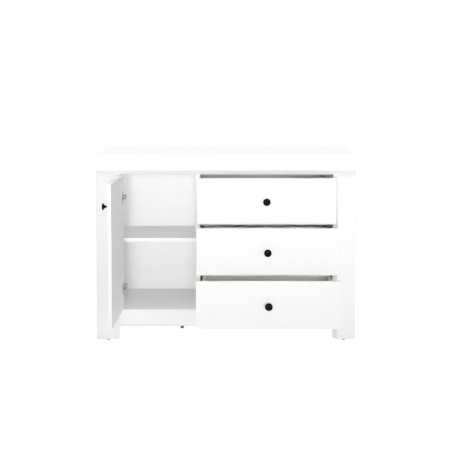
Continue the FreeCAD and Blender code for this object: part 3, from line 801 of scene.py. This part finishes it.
def makeArmNeck(place, face, off, depth):
    # the cranked bar from the pin to the body, with its windows
    s = hingeArm
    skin = face - s["steel"] / 2
    bodyStart = s["bodyStart"] + s["lap"]
    path = rounded([(off + s["eyeR"] * s["eyeJoin"], depth), (skin, depth), (skin, bodyStart)],
                   (0, s["neckBend"], 0), closed=False)
    neck, tools = bmesh.new(), bmesh.new()
    drawOut(neck, place, thicken(path, s["steel"]), -s["neckHalf"], s["neckHalf"])
    for along in s["windowAt"]:
        for lift in (-s["windowUp"], s["windowUp"]):
            middle = off + along
            window = roundedOblong((middle - s["windowHalfWide"], middle + s["windowHalfWide"]),
                                   (lift - s["windowHalfTall"], lift + s["windowHalfTall"]),
                                   s["windowRound"])
            drawOut(tools, place @ drawnAlongY, window, depth - s["punch"], depth + s["punch"])
    neck = cutOut(neck, tools)
    breakEdges(neck, s["neckEdge"])
    return neck


def makeHingeArm(work, low, high):
    s = hingeArm
    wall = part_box("hinge_plates")[0].x
    middle = (low.z + high.z) / 2
    place = axesAt(Vector((wall, legFront, middle)), right, back, up)    # X off the block, Y depth, Z up
    face, off, depth = (high.x - wall) / mm, (doorPivot.x - wall) / mm, (doorPivot.y - legFront) / mm
    for part in (makeArmBody(place, face), makeArmNeck(place, face, off, depth)):
        copyInto(work, part, stillPlace)
        part.free()
    half, ease = s["neckHalf"], s["eyeEase"]
    eye = [(s["boreR"], -half), (s["eyeR"] - ease, -half), (s["eyeR"], ease - half),
           (s["eyeR"], half - ease), (s["eyeR"] - ease, half), (s["boreR"], half), (s["boreR"], -half)]
    turnOnLathe(work, place @ Matrix.Translation((off, depth, 0)), eye, s["eyeSteps"])
    metal = set(work.faces)
    behind = depth + s["steel"] / 2 + s["shadePadGap"]    # a black pad behind the windows: painted shade, a dark sheet that makes the windows read as shadowed hollows
    pad = roundedOblong((off + s["shadePadFrom"], face - s["steel"] - s["shadePadPlay"]),
                        (-s["shadePadHalf"], s["shadePadHalf"]), s["shadePadRound"])
    drawOut(work, place @ drawnAlongY, pad, behind, behind + s["shadePadDeep"])
    for side in set(work.faces) - metal:
        side.material_index = 1


hingePlate = {"round": 3, "edge": 0.5}


def makeHingePlates():
    s = hingePlate
    work = bmesh.new()
    for low, high in islands("hinge_plates"):
        place = axesAt(Vector((low.x, 0, 0)), back, up, right)
        outline = roundedOblong((low.y / mm, high.y / mm), (low.z / mm, high.z / mm), s["round"])
        drawOut(work, place, outline, 0, (high.x - low.x) / mm)
    breakEdges(work, s["edge"])
    finishPiece("hinge_plates_pressed", work, "hinge_plates", "nickelPlatedSteel")


makeHingeCups()
makeEach("hinge_cup_screws", "hinge_cup_screws_headed", cupScrew, "zincPlatedScrew")
makeEach("hinge_plate_screws", "hinge_plate_screws_headed", plateScrew, "zincPlatedScrew")
makeEach("hinge_arms", "hinge_arms_pressed", makeHingeArm, "nickelPlatedSteel", "plastic")
makeHingePlates()
print("hinges pressed:", len(hingeHeights))


# Telescopic slides: three rolled channels in one another, with punched holes along their webs

slides = {
    "outer": {"web": 0.6, "lip": 8.4, "halfHeight": 21.9, "lipEnd": 19.9, "bend": 2.2},
    "middle": {"web": 3.1, "lip": 10.4, "halfHeight": 18.4, "lipEnd": 16.6, "bend": 2.0},
    "inner": {"web": 12.4, "lip": 5.6, "halfHeight": 14.4, "lipEnd": 12.9, "bend": 1.8},
    "steel": 1.2, "length": 350, "lipBend": 0.9, "punch": 1.5, "holeR": 2.4, "holeSteps": 20,
    "slotHalf": 4.5, "slotRound": 2.35, "holes": (35, 128, 256, 320), "slotsAt": (64, 192, 288),
}


def makeRail(kind):
    # one rail in millimetres: X off the wall, Y along the rail from its front, Z up from its middle
    s = slides
    k = s[kind]
    upper = [(k["lip"], k["lipEnd"]), (k["lip"], k["halfHeight"]), (k["web"], k["halfHeight"])]
    lower = [(x, -z) for x, z in upper[::-1]]
    path = rounded(upper + lower, (0, s["lipBend"], k["bend"], k["bend"], s["lipBend"], 0), closed=False)
    rail, tools = bmesh.new(), bmesh.new()
    drawOut(rail, drawnAlongY, thicken(path, s["steel"]), 0, s["length"])
    circle = [(s["holeR"] * math.cos(t), s["holeR"] * math.sin(t)) for t in around(s["holeSteps"])]
    slot = roundedOblong((-s["slotHalf"], s["slotHalf"]), (-s["holeR"], s["holeR"]), s["slotRound"])
    for outline, places in ((circle, s["holes"]), (slot, s["slotsAt"])):
        for along in places:
            drawOut(tools, drawnAlongX, [(x + along, y) for x, y in outline],
                    k["web"] - s["punch"], k["web"] + s["punch"])
    return cutOut(rail, tools)


railMeshes = {kind: makeRail(kind) for kind in ("outer", "middle", "inner")}


def placeRails(node, kind):
    # a rail of that kind in the place of each of the node's channels
    work = bmesh.new()
    partition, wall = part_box("partition")[1].x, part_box("right_inner_wall")[0].x
    for low, high in islands(node):
        nearPartition = (low.x + high.x) / 2 < (partition + wall) / 2
        start = Vector((partition if nearPartition else wall, low.y, (low.z + high.z) / 2))
        copyInto(work, railMeshes[kind], axesAt(start, right if nearPartition else -right, back, up))
    finishPiece(node + "_rolled", work, node, "zincPlatedRail")


placeRails("cabinet_slide_rails", "outer")
for name in drawers:
    placeRails("slide_middle_rails_" + name, "middle")
    placeRails("drawer_" + name + "_rails", "inner")
for rail in railMeshes.values():
    rail.free()
print("slides rolled")


# Feet: nailed glides under the legs, and two long screw-in feet under the bottom panel

glide = {"soleIn": 1.5, "cornerIn": 1.05, "cornerUp": 0.3, "sideIn": 0.85, "sideUp": 1, "cornerSteps": 5,
         "waistDown": 0.4, "collar": 2.2, "collarIn": 0.1, "ease": 0.3, "nailR": 1.5, "nailLength": 12,
         "nailPoint": 2, "steps": 40}
foot = {"stemR": 8.5, "chamfer": 1.5, "padHeight": 9, "grooveHalf": 0.4, "grooveDepth": 0.6,
        "threadFrom": 1, "threadTo": 0.42, "threadPitch": 3, "threadDepth": 0.7, "crestIn": 0.1,
        "crestAt": 0.45, "rootAt": 0.9, "runOutIn": 0.2, "runOutFrom": 0.5, "runOutTo": 1.2, "flange": 6,
        "flangeRound": 1.2, "fillet": 2, "filletMiddle": 0.6, "filletSteps": 4, "ribCount": 8,
        "ribReach": 17, "ribThick": 1.6, "ribDrop": 16, "ribLip": 1, "ribSink": 0.5, "ribLap": 0.2,
        "steps": 48}


def footing(low, high):
    middle = (low + high) / 2
    return axesAt(Vector((middle.x, middle.y, low.z)), right, back, up)


def makeGlide(work, low, high):
    s = glide
    radius, ease = (high.x - low.x) / 2 / mm, s["ease"]
    height = (high.z - low.z) / mm - s["nailLength"]
    collar, nailEnd = height - s["collar"], height + s["nailLength"]
    outline = [(0, 0)]
    outline += arcThrough((radius - s["soleIn"], 0), (radius - s["cornerIn"], s["cornerUp"]),
                          (radius - s["sideIn"], s["sideUp"]), s["cornerSteps"])
    outline += [(radius - ease, collar - s["waistDown"]), (radius - s["collarIn"], collar),
                (radius, collar + ease), (radius, height - ease), (radius - ease, height),
                (s["nailR"], height), (s["nailR"], nailEnd - s["nailPoint"]), (0, nailEnd)]
    turnOnLathe(work, footing(low, high), outline, s["steps"])


def makeSupportFoot(work, low, high):
    s = foot
    place = footing(low, high)
    height, flangeR = (high.z - low.z) / mm, (high.x - low.x) / 2 / mm
    stemR, pad, under = s["stemR"], s["padHeight"], height - s["flange"]
    grooveR, rootR = stemR - s["grooveDepth"], stemR - s["threadDepth"]
    outline = [(0, 0), (stemR - s["chamfer"], 0), (stemR, s["chamfer"]), (stemR, pad - 2 * s["grooveHalf"]),
               (grooveR, pad - s["grooveHalf"]), (grooveR, pad + s["grooveHalf"])]
    at = pad + s["threadFrom"]
    while at < height * s["threadTo"]:    # adjusting thread
        outline += [(rootR, at), (stemR - s["crestIn"], at + s["threadPitch"] * s["crestAt"]),
                    (rootR, at + s["threadPitch"] * s["rootAt"])]
        at += s["threadPitch"]
    outline += [(stemR - s["runOutIn"], at + s["runOutFrom"]), (stemR, at + s["runOutTo"])]
    outline += arcThrough((stemR, under - s["fillet"]),
                          (stemR + s["filletMiddle"], under - s["filletMiddle"]),
                          (stemR + s["fillet"], under), s["filletSteps"])
    outline += [(flangeR - s["flangeRound"], under), (flangeR, under + s["flangeRound"]), (flangeR, height),
                (0, height)]
    turnOnLathe(work, place, outline, s["steps"])
    top, inside = under + s["ribLap"], stemR - s["ribSink"]
    rib = [(inside, top), (s["ribReach"], top), (s["ribReach"], top - s["ribLip"]),
           (inside, top - s["ribDrop"])]
    for angle in around(s["ribCount"]):
        upright = place @ Matrix.Rotation(angle, 4, "Z") @ drawnAlongY
        drawOut(work, upright, rib, -s["ribThick"] / 2, s["ribThick"] / 2)


makeEach("leg_glides", "leg_glides_moulded", makeGlide, "plastic")
makeEach("support_feet", "support_feet_moulded", makeSupportFoot, "plastic")
print("feet moulded")


# Carcass fasteners

carcassScrew = {"backHeadR": 3.5, "backHeadHeight": 1.6, "backShankR": 1.5, "sinkHeadR": 4.95,
                "sinkHeadHeight": 3, "sinkShankR": 2.5, "topReach": 0.1}
peg = {"radius": 2.5, "tipIn": 0.5, "tipUp": 0.8, "collarR": 4, "collar": 0.8, "endEase": 0.6, "steps": 24}


def fastener(work, low, high):
    s = carcassScrew
    size, centre = high - low, (low + high) / 2
    if size.y > size.z:    # through the back panels
        place = axesAt(Vector((centre.x, high.y - s["backHeadHeight"] * mm, centre.z)), right, up, back)
        makeScrewHead(work, place, s["backHeadR"], s["backHeadHeight"], s["backShankR"],
                      size.y / mm - s["backHeadHeight"])
        return
    fromAbove = centre.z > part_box("partition")[1].z - s["topReach"]    # confirmats, flush with the board
    way, end = (up, high.z) if fromAbove else (-up, low.z)
    place = axesAt(Vector((centre.x, centre.y, end)) - way * s["sinkHeadHeight"] * mm, right, back, way)
    makeScrewHead(work, place, s["sinkHeadR"], s["sinkHeadHeight"], s["sinkShankR"],
                  size.z / mm - s["sinkHeadHeight"])


def shelfPeg(work, low, high):
    # a steel pin with a collar that stops it at the wall
    s = peg
    centre = (low + high) / 2
    radius, length = s["radius"], (high.x - low.x) / mm
    shelfLow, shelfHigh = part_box("shelf")
    onLeft = centre.x < (shelfLow.x + shelfHigh.x) / 2
    place = axesAt(Vector((low.x if onLeft else high.x, centre.y, centre.z)), back, up,
                   right if onLeft else -right)
    wall, collarEnd = length / 2, length / 2 + s["collar"]
    outline = [(0, 0), (radius - s["tipIn"], 0), (radius, s["tipUp"]), (radius, wall), (s["collarR"], wall),
               (s["collarR"], collarEnd), (radius, collarEnd), (radius, length - s["endEase"]),
               (radius - s["endEase"], length), (0, length)]
    turnOnLathe(work, place, outline, s["steps"])


makeEach("carcass_screws", "carcass_screws_headed", fastener, "zincPlatedScrew")
makeEach("shelf_pegs", "shelf_pegs_turned", shelfPeg, "zincPlatedScrew")
print("fasteners made")


# Carried-over CAD nodes

carried = {"wood_dowels": "beech", "hinge_pins": "nickelPlatedSteel", "cam_fittings": "zincPlatedScrew"}
for node, finish in carried.items():
    cad[node].data.materials.clear()
    cad[node].data.materials.append(finishes[finish])
print("CAD nodes carried over:", len(carried))


# Floor, light and camera

room = {"colour": "C6C6C6", "shade": "C0C0C0", "roughness": 0.9, "specular": 0.1, "paperMm": 400,
        "nearGlow": 0.88, "farGlow": 1.05, "near": 0.5, "far": 2.2, "floorSize": 40, "world": 0.03,
        "sky": 1.15}
lamps = {
    "front": {"at": (0, -9, 1.5), "aim": (0, 0, 1.55), "size": (2, 2), "watts": 22, "spread": 30},
    "frontRight": {"at": (4, -6, 1.2), "aim": (0, 0, 0.45), "size": (2, 2), "watts": 110, "spread": 180},
    "overhead": {"at": (0, -1.2, 4.5), "aim": (0, -1.2, 0), "size": (5, 3), "watts": 96, "spread": 180},
}
tone = {"gamma": 1.6, "toe": 0.08, "points": 12}
view = {"distance": 4.099, "height": 1.193, "pitchDegrees": 3.89, "sensor": 36, "lens": 74.89,
        "shift": -0.20}
white = (1, 1, 1, 1)


def makeFloor():
    # grey paper that is lit from below, so it looks white and throws little light back up
    s = room
    material, tree, place = newMaterial("litPaper")
    grain = addNode(tree, "ShaderNodeTexNoise", {"Scale": perMetre(s["paperMm"]), "Detail": 2.0}, place)
    away = addNode(tree, "ShaderNodeVectorMath", {"operation": "LENGTH"}, {0: place["Vector"]})
    glow = addNode(tree, "ShaderNodeMapRange",
                   {"From Min": s["near"], "From Max": s["far"],
                    "To Min": s["nearGlow"], "To Max": s["farGlow"]},
                   {"Value": (away, "Value")})
    ray = addNode(tree, "ShaderNodeLightPath")
    seen = addNode(tree, "ShaderNodeMapRange", {"To Max": 0},
                   {"Value": (ray, "Is Diffuse Ray"), "To Min": (glow, "Result")})
    finishMaterial(material, s, (grain, "Fac"),
                   surface={"Specular IOR Level": s["specular"], "Emission Color": white},
                   fed={"Emission Strength": (seen, "Result")})
    work = bmesh.new()
    bmesh.ops.create_grid(work, x_segments=1, y_segments=1, size=s["floorSize"])
    mesh = bpy.data.meshes.new("floor")
    work.to_mesh(mesh)
    work.free()
    mesh.materials.append(material)
    floor = bpy.data.objects.new("floor", mesh)
    bpy.context.scene.collection.objects.link(floor)


def makeLamp(name):
    s = lamps[name]
    data = bpy.data.lights.new(name, "AREA")
    data.shape = "RECTANGLE"
    data.size, data.size_y = s["size"]
    data.energy = s["watts"]
    data.spread = math.radians(s["spread"])    # degrees; a grid narrows it
    lamp = bpy.data.objects.new(name, data)
    lamp.location = s["at"]
    lamp.rotation_mode = "QUATERNION"
    lamp.rotation_quaternion = (Vector(s["aim"]) - Vector(s["at"])).to_track_quat("-Z", "Y")
    bpy.context.scene.collection.objects.link(lamp)


def makeWorld():
    # white behind the object, and only a little light from all round
    world = bpy.data.worlds.new("studio")
    world.use_nodes = True
    tree = world.node_tree
    ray = addNode(tree, "ShaderNodeLightPath")
    strength = addNode(tree, "ShaderNodeMapRange", {"To Min": room["sky"], "To Max": room["world"]},
                       {"Value": (ray, "Is Diffuse Ray")})
    tree.links.new(strength.outputs["Result"], tree.nodes["Background"].inputs["Strength"])
    tree.nodes["Background"].inputs["Color"].default_value = white
    bpy.context.scene.world = world


def makeTone():
    # a print-like tone curve: light greys are lifted, near blacks are held down
    s = tone
    settings = bpy.context.scene.view_settings
    settings.view_transform = "Standard"
    settings.use_curve_mapping = True
    combined = settings.curve_mapping.curves[3]
    for i in range(1, s["points"]):
        level = (i / s["points"]) ** 2
        combined.points.new(level, level ** (1 / s["gamma"]) * (1 - math.exp(-level / s["toe"])))
    settings.curve_mapping.update()


def makeCamera():
    data = bpy.data.cameras.new("camera")
    data.sensor_width = view["sensor"]
    data.lens = view["lens"]
    data.shift_y = view["shift"]
    camera = bpy.data.objects.new("camera", data)
    camera.location = (0, legFront - view["distance"], view["height"])
    camera.rotation_euler = (math.radians(90 - view["pitchDegrees"]), 0, 0)
    bpy.context.scene.collection.objects.link(camera)
    bpy.context.scene.camera = camera


makeFloor()
for lamp in lamps:
    makeLamp(lamp)
makeWorld()
makeTone()
makeCamera()
print("floor, light and camera placed")
